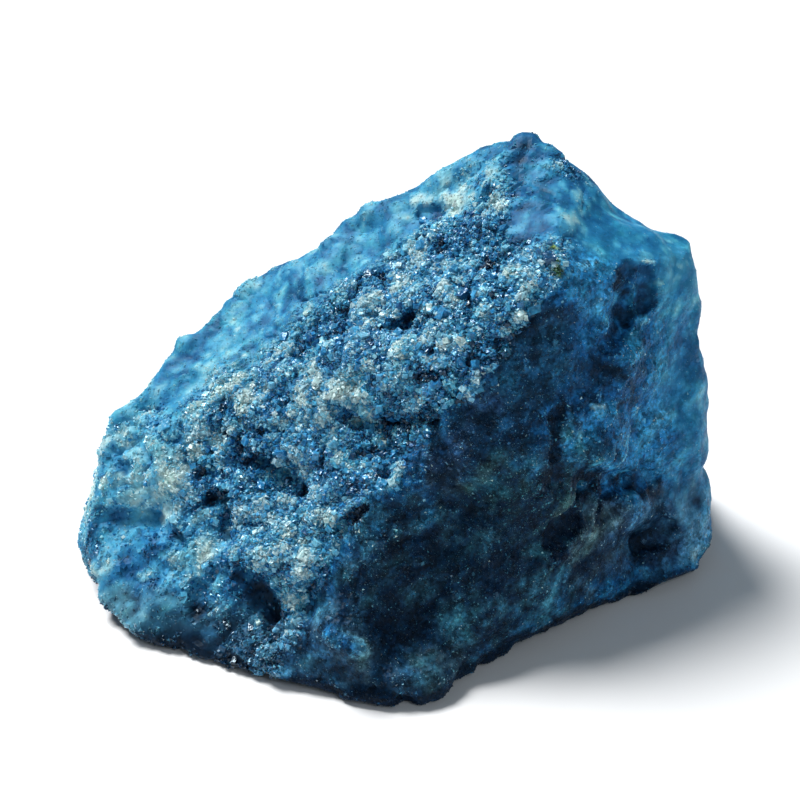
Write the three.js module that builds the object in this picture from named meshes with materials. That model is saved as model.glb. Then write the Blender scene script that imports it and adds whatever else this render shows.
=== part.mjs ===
// A rough lump of blue rock salt, about 90 mm long, broken from a larger mass.
// It is one closed solid: a wedge of fracture faces with worn edges, covered in lumps, ledges and pits.
// Millimetres, +Z up. +X runs along the lump, and -Y is the side with the near ridge.
// The origin is the centre of the foot: the middle of the bounding box, at the level it rests on.
import * as THREE from "three";
import { ImprovedNoise } from "three/addons/math/ImprovedNoise.js";
import { mergeVertices } from "three/addons/utils/BufferGeometryUtils.js";

const SALT_BLUE = 0x3f7da3;
const FACETS_PER_EDGE = 22; // rows of triangles along each edge of the starting icosahedron
const SPREADING_ROUNDS = 40; // each round evens out the spacing of the facets a little more
const MERGE_GAP = 1e-4; // corners of the unit icosahedron closer than this are one vertex
const EDGE_SHARPNESS = 44; // a higher power leaves the edges between fracture faces sharper
const HEART_HEIGHT = 20; // of the heart of the lump above the level it rests on
const FOOT_DEPTH = 0.1; // how far the foot face is set below the floor, before it is cut off flat

// Each fracture face: the compass bearing of its normal (0 is +X, 90 is +Y), how far the normal
// tilts above the horizon, both in degrees, and its distance from the heart of the lump in mm.
const FRACTURE_FACES = [
  { name: "lit face, upper", bearing: 216, tilt: 55, reach: 21.2 },
  { name: "lit face, lower", bearing: 240, tilt: 34, reach: 19.6 },
  { name: "front", bearing: 244, tilt: 0, reach: 37 },
  { name: "front, left part", bearing: 256, tilt: 3, reach: 34.2 },
  { name: "front corner", bearing: 216, tilt: 0, reach: 43.6 },
  { name: "left end", bearing: 190, tilt: 22, reach: 40 },
  { name: "near corner", bearing: 284, tilt: 12, reach: 31.6 },
  { name: "dark front", bearing: 263, tilt: 26, reach: 22 },
  { name: "dark front, right part", bearing: 284, tilt: 21, reach: 23.8 },
  { name: "dark face", bearing: -53, tilt: 8, reach: 24.6 },
  { name: "dark face, right part", bearing: -47, tilt: 10.5, reach: 27.4 },
  { name: "right end", bearing: 0, tilt: 7, reach: 40.4 },
  { name: "top", bearing: -34, tilt: 60.5, reach: 37.7 },
  { name: "back right", bearing: 60, tilt: 18.5, reach: 31.2 },
  { name: "back", bearing: 100, tilt: 15, reach: 23.3 },
  { name: "back left", bearing: 134, tilt: 10, reach: 30.6 },
];
const STEEP = 20; // a face that tilts less than this meets the ground and is undercut there
const UNDERCUT_TILT = -24;
const UNDERCUT_HEIGHT = 3.2; // where the undercut starts, above the floor

// Single lumps and hollows. Each follows the line between two places on the surface, in mm from the
// point of the floor below the heart, is as wide as its width, and stands out by its rise or, where
// that is negative, is sunk by it.
const MARKS = [
  { name: "pit high on the lit face", from: [-3, -7, 41.5], to: [-2, -7, 42], width: 9, rise: -2.2 },
  { name: "hollow below the apex", from: [1, 8, 50], to: [8, 5.5, 52.5], width: 10, rise: -1.4 },
  { name: "long pit", from: [-20, -13.5, 23], to: [-16, -16, 22.5], width: 8, rise: -1.8 },
  { name: "upright crack", from: [-27.5, -8, 24.5], to: [-26.5, -16, 15], width: 6.5, rise: -1.8 },
  { name: "slab beside the crack", from: [-35, -5, 23], to: [-33, -9, 18], width: 12, rise: 1.1 },
  { name: "ledge at the left end", from: [-43, -9, 12], to: [-34, -11, 15.5], width: 6, rise: -1.7 },
  { name: "undercut low on the front", from: [-23, -24, 7], to: [-15, -25, 11.5], width: 8, rise: -2 },
  { name: "lumps over the undercut", from: [-23, -19, 13], to: [-16, -22, 14.5], width: 9, rise: 1.5 },
  { name: "lip of the left foot", from: [-42, -14, 5], to: [-30, -21, 4.5], width: 9, rise: 1.3 },
  { name: "slanting crease", from: [-9.5, -13, 31.5], to: [2.5, -20, 31], width: 7, rise: -0.8 },
  { name: "hollow beside the ridge", from: [0, -30, 10], to: [6, -23, 22], width: 20, rise: -3.4 },
  { name: "lobe on the dark face", from: [27, -8, 37], to: [24.5, -11.5, 26], width: 14, rise: 2 },
  { name: "groove above the lobe", from: [29, -4.5, 45.5], to: [27, -7, 40.5], width: 9, rise: -2.2 },
  { name: "pocket low on the right", from: [31, -10, 8], to: [33, -9, 9], width: 8, rise: -2.2 },
  { name: "pocket under the lobe", from: [23, -14, 18], to: [26, -12, 18.5], width: 8, rise: -1.6 },
  { name: "slanting rib", from: [24, -13.5, 19], to: [16, -20, 13], width: 6, rise: 1.2 },
  { name: "knob low on the front", from: [-11, -28.5, 9], to: [-7, -30.5, 6.5], width: 9, rise: 1.8 },
  { name: "knob at the near corner", from: [-3, -32.5, 3], to: [3, -33, 2], width: 10, rise: 1.8 },
  { name: "notch behind the shoulder", from: [24, 9, 53], to: [29, 7, 51], width: 13, rise: -2.2 },
  { name: "foot of the right corner", from: [40, -3, 1], to: [37, -5, 1], width: 9, rise: 1.2 },
  { name: "tip", from: [15, 13, 59], to: [14, 14, 58], width: 8, rise: 0.9 },
  { name: "dent beside the apex", from: [14, 7, 57], to: [17, 3, 55], width: 9, rise: -1 },
];

// Lumps of every size over the whole surface: how far apart they are and how high, in mm.
const SWELLS = [
  { apart: 24, height: 1.3 },
  { apart: 10, height: 1.1 },
];
const KNOBS = { apart: 8, height: 0.9 }; // rounded lumps with creases between them
const KNOB_LEVEL = 0.45; // the share of a knob's height that lies below the face it stands on
const NOISE_START = new THREE.Vector3(7.3, 2.1, 4.7); // another start gives other lumps

const heart = new THREE.Vector3(0, 0, HEART_HEIGHT);
const noise = new ImprovedNoise();

function faceFrom(bearing, tilt, reach) {
  const turn = THREE.MathUtils.degToRad(bearing);
  const rise = THREE.MathUtils.degToRad(tilt);
  const flat = Math.cos(rise);
  const normal = new THREE.Vector3(Math.cos(turn) * flat, Math.sin(turn) * flat, Math.sin(rise));
  return { normal, reach };
}

// The worn undercut below a steep face: it leaves that face at UNDERCUT_HEIGHT above the floor.
function undercutOf({ bearing, tilt, reach }) {
  const rise = THREE.MathUtils.degToRad(tilt);
  const fall = THREE.MathUtils.degToRad(UNDERCUT_TILT);
  const drop = UNDERCUT_HEIGHT - HEART_HEIGHT;
  const out = (reach - Math.sin(rise) * drop) / Math.cos(rise);
  return faceFrom(bearing, UNDERCUT_TILT, Math.cos(fall) * out + Math.sin(fall) * drop);
}

const faces = [
  ...FRACTURE_FACES.map(({ bearing, tilt, reach }) => faceFrom(bearing, tilt, reach)),
  ...FRACTURE_FACES.filter(({ tilt }) => tilt < STEEP).map(undercutOf),
  faceFrom(0, -90, HEART_HEIGHT + FOOT_DEPTH),
];

// The worn polyhedron along a direction from the heart: a power mean of the face distances, which
// equals the nearest face away from the edges and rounds the edges off. Gives the place and normal.
function wornSurface(direction) {
  let sum = 0;
  const normal = new THREE.Vector3();
  for (const face of faces) {
    const share = face.normal.dot(direction) / face.reach;
    const weight = Math.max(0, share) ** (EDGE_SHARPNESS - 1);
    sum += weight * share;
    normal.addScaledVector(face.normal, weight / face.reach);
  }
  const reach = sum ** (-1 / EDGE_SHARPNESS);
  const place = direction.clone().multiplyScalar(reach).add(heart);
  return { place, normal: normal.normalize() };
}

function noiseAt(place, apart) {
  const spot = place.clone().divideScalar(apart).add(NOISE_START);
  return noise.noise(spot.x, spot.y, spot.z);
}

function markRise(place) {
  let rise = 0;
  const nearest = new THREE.Vector3();
  for (const mark of MARKS) {
    const line = new THREE.Line3(new THREE.Vector3(...mark.from), new THREE.Vector3(...mark.to));
    const gap = line.closestPointToPoint(place, true, nearest).distanceTo(place);
    rise += mark.rise * (1 - THREE.MathUtils.smoothstep(gap, 0, mark.width / 2));
  }
  return rise;
}

function relief(place) {
  let height = markRise(place);
  for (const swell of SWELLS) {
    height += swell.height * noiseAt(place, swell.apart);
  }
  return height + KNOBS.height * (2 * Math.abs(noiseAt(place, KNOBS.apart)) - KNOB_LEVEL);
}

// For every vertex, the vertices that share a triangle edge with it.
function neighboursOf(geometry) {
  const corners = geometry.index.array;
  const neighbours = Array.from({ length: geometry.getAttribute("position").count }, () => new Set());
  for (let i = 0; i < corners.length; i++) {
    const next = i % 3 === 2 ? i - 2 : i + 1;
    neighbours[corners[i]].add(corners[next]);
    neighbours[corners[next]].add(corners[i]);
  }
  return neighbours;
}

// Directions from the heart whose places on the worn surface are evenly spread out.
function evenDirections(geometry) {
  const positions = geometry.getAttribute("position");
  let directions = Array.from({ length: positions.count }, (_, i) =>
    new THREE.Vector3().fromBufferAttribute(positions, i).normalize(),
  );
  const neighbours = neighboursOf(geometry);
  for (let round = 0; round < SPREADING_ROUNDS; round++) {
    const places = directions.map((direction) => wornSurface(direction).place);
    directions = neighbours.map((around) => {
      const middle = new THREE.Vector3();
      for (const j of around) {
        middle.addScaledVector(places[j], 1 / around.size);
      }
      return middle.sub(heart).normalize();
    });
  }
  return directions;
}

function lumpGeometry() {
  const ball = new THREE.IcosahedronGeometry(1, FACETS_PER_EDGE - 1);
  ball.deleteAttribute("normal");
  ball.deleteAttribute("uv");
  const geometry = mergeVertices(ball, MERGE_GAP);
  const places = geometry.getAttribute("position");
  evenDirections(geometry).forEach((direction, i) => {
    const { place, normal } = wornSurface(direction);
    place.addScaledVector(normal, relief(place));
    places.setXYZ(i, place.x, place.y, Math.max(0, place.z));
  });
  geometry.computeBoundingBox();
  const middle = geometry.boundingBox.getCenter(new THREE.Vector3());
  geometry.translate(-middle.x, -middle.y, 0);
  geometry.computeVertexNormals();
  return geometry;
}

const salt = new THREE.MeshStandardMaterial({ color: SALT_BLUE, roughness: 0.45, metalness: 0 });
const rock = new THREE.Mesh(lumpGeometry(), salt);
rock.name = "rock";

const lump = new THREE.Group();
lump.add(rock);
export default lump;
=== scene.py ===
"""The looks of a rough lump of blue rock salt, about 93 mm long.

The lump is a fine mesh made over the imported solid, with cracks, pits and hackly steps. A crust of
small salt grains is set into it: sugary and sparkling on one side of the ridge, and worn and glassy
on the other. The tables give places, widths and heights in mm, in the part's own frame.
"""

import math

import bmesh
import bpy
import numpy as np
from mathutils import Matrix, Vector
from mathutils.kdtree import KDTree


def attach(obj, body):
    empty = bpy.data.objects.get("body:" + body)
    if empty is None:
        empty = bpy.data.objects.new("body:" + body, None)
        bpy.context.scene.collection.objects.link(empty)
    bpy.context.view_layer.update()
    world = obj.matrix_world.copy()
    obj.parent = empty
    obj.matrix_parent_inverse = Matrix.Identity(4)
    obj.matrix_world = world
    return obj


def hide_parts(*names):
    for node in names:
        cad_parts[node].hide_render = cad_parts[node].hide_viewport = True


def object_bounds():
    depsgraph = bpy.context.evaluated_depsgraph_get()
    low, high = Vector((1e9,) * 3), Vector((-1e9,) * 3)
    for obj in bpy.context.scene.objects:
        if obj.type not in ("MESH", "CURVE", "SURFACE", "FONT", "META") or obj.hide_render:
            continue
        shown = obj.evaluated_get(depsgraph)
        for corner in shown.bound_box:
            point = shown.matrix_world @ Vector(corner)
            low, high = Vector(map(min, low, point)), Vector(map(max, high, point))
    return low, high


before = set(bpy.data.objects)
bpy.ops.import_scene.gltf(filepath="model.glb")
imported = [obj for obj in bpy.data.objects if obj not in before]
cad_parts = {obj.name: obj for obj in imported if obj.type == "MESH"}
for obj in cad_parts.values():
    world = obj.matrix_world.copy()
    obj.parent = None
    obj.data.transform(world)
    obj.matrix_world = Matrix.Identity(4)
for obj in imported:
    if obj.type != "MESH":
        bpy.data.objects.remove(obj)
cad_low, cad_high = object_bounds()

MM = 0.001
SEED = 21

# The ridge between the sugary side and the worn, glassy side lies near this plane, in mm.
RIDGE_NORMAL = np.array([0.815, -0.197, -0.545])
RIDGE_OFFSET = -9.5
RIDGE_HEIGHTS = (6, 11, 17, 24, 33, 41, 51)  # in mm, where it is this far past that plane:
RIDGE_SHIFTS = (1.0, 0.0, -2.0, -2.6, -1.4, 0.3, 0.0)
RIDGE_WANDER = 1.2  # how far it wanders to either side, in mm
RIDGE_BLUR = (-0.5, 0.9)  # from where to where past the ridge the sugary salt gives way, in mm

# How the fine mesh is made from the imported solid.
MERGE_GAP = 0.01  # the solid's corners closer than this are one vertex, in mm
SUBDIVISIONS = 2
SMOOTHING_ROUNDS = 4
INSET = 0.22  # of the fine surface below the solid's, in mm, which the tips of the grains reach
ROOM_SHARE = 0.6  # of the room up to the sides of the solid's box that a rise may take
SIDE_ON_MAP = 0.32  # the height of the lump's tallest side on its flat map, which is 1 high
MAP_MARGIN = 0.006

# The forms all over the lump: how high they are, how much higher where the grains stand out, both
# in mm, and the share of that which is lost where the salt is calm.
BROAD_CLUSTERS = (0.28, 0.32, 0.4)
SMALL_CLUSTERS = (0.28, 0.37, 0.6)
LARGE_STEPS = (0.22, 0.28, 0.5)
SMALL_STEPS = (0.16, 0.08, 0.6)
LARGE_STEPS_APART = 4.6  # in mm
SMALL_STEPS_APART = 2.1
CREVICE_DEPTH = 0.6

# The soft noises: how far apart the lumps of each are, in mm, and the number of its random draw.
NOISES = {
    "fine rag": (1.3, 1),
    "coarse rag": (3.6, 2),
    "drift": (5, 3),
    "broad patches": (4.2, 4),
    "small patches": (1.9, 5),
    "stain edges": (2.2, 10),
    "broad clusters": (3.8, 11),
    "crevice stretches": (6, 12),
    "fine tone": (0.9, 13),
    "cream": (1.7, 14),
    "small clusters": (2.0, 15),
    "foot edge": (3, 16),
    "broad hue": (2.4, 17),
    "fine hue": (0.7, 18),
    "milky dots": (1.1, 19),
}
LARGE_STEPS_DRAW = 6
SMALL_STEPS_DRAW = 7
GRAINS_DRAW = 9

# The two kinds of grain. size is the usual edge in mm, and size_spread how much it varies. The base
# of a grain is sunk by a share of its size: sunk_standing where the grains stand out, and sunk_worn
# where they don't. tone_spread is how much their tones vary, past_ridge how many there are past the
# ridge, against the sugary side, and calm_loss how much rarer they are where the salt is calm.
SMALL_GRAINS = dict(
    name="small", amount=165_000, size=0.37, size_spread=0.24, sunk_standing=-0.06, sunk_worn=0.20,
    tone_spread=0.15, past_ridge=1.2, calm_loss=0.96,
)
LARGE_GRAINS = dict(
    name="large", amount=9_000, size=0.46, size_spread=0.28, sunk_standing=0.18, sunk_worn=0.45,
    tone_spread=0.13, past_ridge=0.03, calm_loss=1.6,
)
# The pieces of each kind, from the deepest blue to the palest: where the grains stand out on the
# sugary side, where they are fused there, and past the ridge, where they are worn.
PIECES = {
    "small": (("deep", "mid", "pale"), ("fused",), ("worn_deep", "worn_pale")),
    "large": (("deep", "pale"), ("fused",), ("worn",)),
}
STANDING_LIMIT = 0.45  # grains that stand out less than this share are fused or worn
GRAIN_SCATTER = 0.2  # how far a grain lies from the vertex that it was dealt to, in mm
CORNER_SCATTER = 0.08  # how far its corners are out of true, as a share of its size
STRETCH = (0.75, 1.3)  # its least and greatest stretch along each of its edges
CROWD_SIZE = (1.25, 0.07)  # how large a lone grain is, and how much less so where more are wanted
RIDGE_SIZE = (0.65, 0.05, 0.4)  # the least size past the ridge, and the sugar shares where it grows
CALM_SIZE_LOSS = 0.3
LIT_SIDE = np.array([-0.2, -0.85, 0.5])  # grains are more crowded where the lump faces this way

# Along these the salt's patches are drawn out: at the left end, and past the ridge.
STREAK = np.array([0.707, 0.354, 0.612])
DARK_STREAK = np.array([0.800, 0.447, 0.400])

# Salt colours from the deepest to the palest: the tone from 0 to 1, and linear red, green and blue.
TONES = (
    (0.00, (0.001, 0.009, 0.027)),
    (0.18, (0.004, 0.034, 0.090)),
    (0.34, (0.008, 0.094, 0.245)),
    (0.48, (0.022, 0.205, 0.420)),
    (0.62, (0.068, 0.335, 0.545)),
    (0.78, (0.205, 0.500, 0.640)),
    (0.90, (0.415, 0.605, 0.670)),
    (1.00, (0.630, 0.705, 0.700)),
)

# The finishes of the salt. gloss is the strength of its reflections. sparkle is how far its tiny
# facets lean, facet their size and depth how far light is carried below the surface, both in mm.
# specks and mosaic are how much paler or deeper than the tint the fine specks and the crystals are.
FINISHES = {
    "salt_between_grains": dict(
        roughness=0.5, gloss=0.14, sparkle=0.5, facet=0.4, depth=0.7, specks=0.4, mosaic=0.25
    ),
    "worn_salt": dict(
        roughness=0.45, gloss=0.08, sparkle=0.6, facet=0.3, depth=0.12, specks=0.55, mosaic=0.5
    ),
    "bright_salt_grain": dict(
        roughness=0.24, gloss=0.55, sparkle=0.5, facet=0.2, depth=0.4, specks=0.35, mosaic=0.15
    ),
    "fused_salt_grain": dict(
        roughness=0.5, gloss=0.25, sparkle=0.3, facet=0.2, depth=0.7, specks=0.3, mosaic=0.15
    ),
    "worn_salt_grain": dict(
        roughness=0.35, gloss=0.35, sparkle=0.5, facet=0.2, depth=0.2, specks=0.5, mosaic=0.3
    ),
}
SALT_IOR = 1.54
SALT_REFLECTION = (0.68, 0.88, 1, 1)  # the colour that its reflections take on
LIGHT_CARRIED = 0.7  # the share of light that is carried below the surface
SPECK_SIZE = 0.45  # in mm
CRYSTAL_SIZE = 0.8
CRYSTAL_BEND = 0.9  # how far the crystals' outlines are bent, in mm

# The lights: power, how wide they look, bearing and height in degrees, and colour.
LIGHTS = (
    ("key", 4.7, 24, 145, 60, (1, 1, 1)),
    ("fill", 0.5, 30, -55, 45, (0.85, 0.93, 1)),
)
STUDIO_COLOUR = (0.76, 0.89, 1, 1)
STUDIO_STRENGTH = 0.15
FLOOR_COLOUR = (0.8, 0.8, 0.8, 1)
FLOOR_ROUGHNESS = 0.9
FLOOR_SIZE = 6  # from the middle to each side, in metres
FLOOR_GAP = 0.02  # below the lump's foot, in mm

# The photograph's view: level with +X to the right, and from above the horizon.
VIEW_HEIGHT = 30  # in degrees
VIEW_CENTRE = (0.45, 0, 27.08)  # in mm
VIEW_DISTANCE = 219.5
LENS = 72
SENSOR = 36
CLIP = (0.01, 20)  # in metres

# What is added to the usual tone in certain places. On the dark face the salt is a deeper blue,
# partly its own colour and partly painted shade on the side away from the light. Low on the front,
# along the foot, under the faces turned down, between the grains and in the crevices, the deeper
# tone is painted shade. Where it is calm, tones below CALM_FLOOR are lifted part of the way to it.
USUAL_TONE = 0.535
CALM_TONE = -0.035
CREAM_TONE = 0.18
MILKY_TONE = 0.19
# Painted shade in the crevices between the clusters.
CREVICE_PAINTED_SHADE = -0.36
DARK_FACE = ((3, -28, 7), (20, -14.5, 36), 40)  # the line along its middle, and its width in mm
# Partly the salt's own deeper blue, partly painted shade on the face away from the light.
DARK_FACE_TONE_AND_SHADE = -0.30
# Painted shade low on the front, darker towards the bottom.
LOW_FRONT_PAINTED_SHADE = -0.17
# Painted shade along the foot and on the low faces turned down.
FOOT_PAINTED_SHADE = -0.45
# Painted shade on the salt between the standing grains.
BETWEEN_GRAINS_PAINTED_SHADE = -0.02
CALM_FLOOR = 0.38
CALM_LIFT = 0.55

# How the hue varies: how strong the two noises are, the least that they may add together, and what
# one unit of them adds to red, green and blue.
BROAD_HUE = 0.10
FINE_HUE = 0.09
LEAST_HUE = -0.03
GREENER = np.array([0.5, 1, -0.2])
CALM_BLUE_LOSS = 0.1

# Calm stretches, where the grains are fused: the line along the middle, the width and how calm.
CALM = (
    ("left end", (-42, -3, 20), (-40, -8, 8), 34, 0.5),
    ("upper band", (-30, 6, 32), (4, 19, 51), 22, 0.75),
    ("upper left corner", (-38, 4, 23.5), (-30, 6, 29), 11, 0.65),
    ("lip of the left foot", (-40, -13, 5.5), (-26, -21.5, 4), 8, 0.65),
    ("low on the left", (-30, -14, 10), (-24, -18, 8), 18, 0.4),
    ("apex", (18, 14, 60), (19, 3, 54), 12, 0.65),
    ("left of the apex", (8, 17, 56), (17.5, 15.2, 60), 9, 0.7),
    ("far edge", (17.5, 15.2, 60), (31, 10.5, 51), 9, 0.75),
    ("pale strip near the apex", (5, 12, 51), (13, 12, 57), 10, 0.5),
    ("shoulder", (22, 3, 53), (38, 5, 49), 18, 0.8),
    ("right end", (42, 3, 40), (43, 2, 14), 18, 0.6),
    ("back", (-20, 24, 22), (30, 24, 22), 46, 0.5),
)

# Stains: the line along the middle, the width, the tint, how strong it is past the ridge, and how
# strong on the sugary side. A tint multiplies the salt's red, green and blue.
STAINS = (
    ("slate over the dark face", (4, -24, 12), (18, -17.5, 16), 31, (3.0, 1.35, 0.82), 0.9, 0),
    ("grey violet low on the right", (27, -12.5, 12), (41, -4, 8), 15, (3.0, 1.0, 0.80), 0.85, 0),
    ("violet under the ridge", (11, -16, 35.5), (6, -18.5, 27), 6, (1.9, 0.85, 0.9), 0.7, 0),
    ("slate beside the ridge", (9, -17, 30), (17, -12, 42), 13, (1.7, 1.0, 0.82), 0.8, 0),
    ("green on the dark face", (12, -19, 27), (20, -16.5, 20), 9, (1.1, 1.15, 0.85), 0.7, 0),
    ("grey rib", (25, -14.3, 23), (20.7, -16.8, 19), 3, (2.2, 1.1, 0.9), 0.8, 0),
    ("grey at the near corner", (0, -32, 3), (7, -28.8, 3), 8, (1.9, 1.0, 0.8), 0.8, 0.8),
    ("grey low on the front", (-37, -17, 3), (-6, -29, 5), 11, (2.4, 1.02, 0.80), 0.8, 0.9),
    ("grey left foot", (-43, -8, 4), (-37, -17, 3), 8, (1.6, 1.0, 0.85), 0.8, 0.8),
)

# Small spots of a colour of their own: the place, the width in mm and the colour.
SPOTS = (
    ("green growth", (20.3, -8.6, 50.7), 1.7, (0.020, 0.070, 0.025)),
    ("green growth above it", (20.0, -7.2, 51.6), 1.0, (0.030, 0.110, 0.045)),
    ("yellow fleck", (19.9, -5.6, 52.6), 0.8, (0.260, 0.400, 0.110)),
)

# Where the outline stands out or is cut back: the line along the middle, the width and the rise.
EDGES = (
    ("below the shoulder", (40.4, 6.8, 45.8), (40.1, 7, 45), 5, -0.5),
    ("edge of the shoulder", (35, 7.5, 49), (36.8, 6, 49), 7, -0.9),
    ("hollow behind the shoulder", (26.7, 9.4, 53.7), (24.5, 11.5, 55.3), 8, 1.0),
    ("far edge", (24.2, 11.8, 57), (23.6, 11.8, 57.1), 4, -0.8),
    ("far edge, upper part", (21.8, 12.3, 58), (21, 12.8, 58.3), 4, 0.6),
    ("point of the apex", (17.7, 15.4, 59.6), (18.1, 15.3, 59.6), 5, 0.6),
    ("left side of the apex", (15.4, 16, 59.4), (13.8, 16.4, 58.6), 4, -0.1),
    ("left of the apex", (12, 16.4, 56.7), (5.6, 16.5, 53.5), 8, 0.9),
    ("swelling of the upper band", (-4.6, 16.2, 47.9), (-6.4, 16.4, 46.4), 6, 0.8),
    ("dip in the upper band", (-9.5, 14.3, 44), (-9.9, 14, 43.7), 4, 0.7),
    ("back edge of the upper band", (-10.8, 16.2, 43.7), (-13.5, 16, 41.9), 6, -1.1),
    ("lower part of the upper band", (-21.8, 15.2, 36.6), (-23.5, 14.3, 35.2), 6, 0.6),
    ("left end, upper edge", (-31, 9.6, 29.6), (-39, 3.7, 23), 8, 1.5),
    ("left end, upper corner", (-39.8, 2.4, 22), (-40.6, 0.6, 19), 6, 0.8),
    ("above the left end", (-26, 11.8, 32.5), (-29, 10.4, 30.8), 6, 0.8),
    ("left end, middle", (-40.6, 0.1, 19), (-41.8, -1, 16.4), 6, 0.6),
    ("left end above the floor", (-44.8, -3, 7), (-44.4, -5, 5), 5, 0.2),
    ("left end, knob", (-43.9, -0.9, 11.9), (-43.7, -0.9, 12.4), 4, -0.8),
    ("left foot, outer edge", (-45.9, -1.5, 3.5), (-45, -5.5, 1.5), 8, -1.4),
    ("left foot, nick", (-42.4, -10.2, 2.8), (-42, -10.6, 2.4), 5, -0.9),
    ("left foot, corner", (-39.6, -12.8, 2.6), (-35, -18.6, 1.2), 6, 1.6),
    ("front foot, left part", (-31.5, -20, 1.1), (-25.5, -22, 1.1), 6, 0.6),
    ("front foot, middle", (-20.4, -25.4, 0.7), (-18.2, -26.5, 0.9), 5, -0.8),
    ("front foot, right part", (-5.5, -31, 0.5), (-1.2, -31.6, 0.6), 5, 1.1),
    ("near corner, right part", (1.1, -32.2, 1.2), (1.3, -32, 1.2), 4, -1.0),
    ("near corner, right side", (8.6, -26.6, 1), (9.4, -25.8, 1), 4, 0.9),
    ("foot of the dark face", (12.2, -22.9, 0.9), (13.8, -21.7, 0.9), 5, 0.7),
    ("foot of the dark face, middle", (16.2, -20.2, 0.8), (18.5, -18.8, 0.8), 5, -0.5),
    ("foot of the dark face, right part", (22.2, -16.8, 0.9), (23.6, -15.6, 0.9), 5, -0.5),
    ("right foot, front edge", (36.2, -6.8, 0.8), (40.6, -3.8, 0.8), 8, 2.3),
    ("right foot, above the tip", (45.4, 1.6, 2.2), (46, 3, 4.4), 5, -1.2),
    ("right end, lower part", (44.4, 4.4, 11.9), (44.4, 4, 11.4), 5, 0.5),
    ("right end, middle", (42.3, 2.1, 19), (42, 2.4, 26), 13, 1.3),
    ("right end, swelling", (42.6, 5.2, 33.4), (42.6, 5.3, 33.9), 4.4, -1.0),
    ("right end, above the swelling", (40.9, 5.2, 37.2), (40.9, 5.2, 38.6), 5, 0.6),
    ("right end, upper part", (43.4, 4.2, 24.8), (42.8, 3.9, 30.4), 5, 0.4),
)
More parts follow.
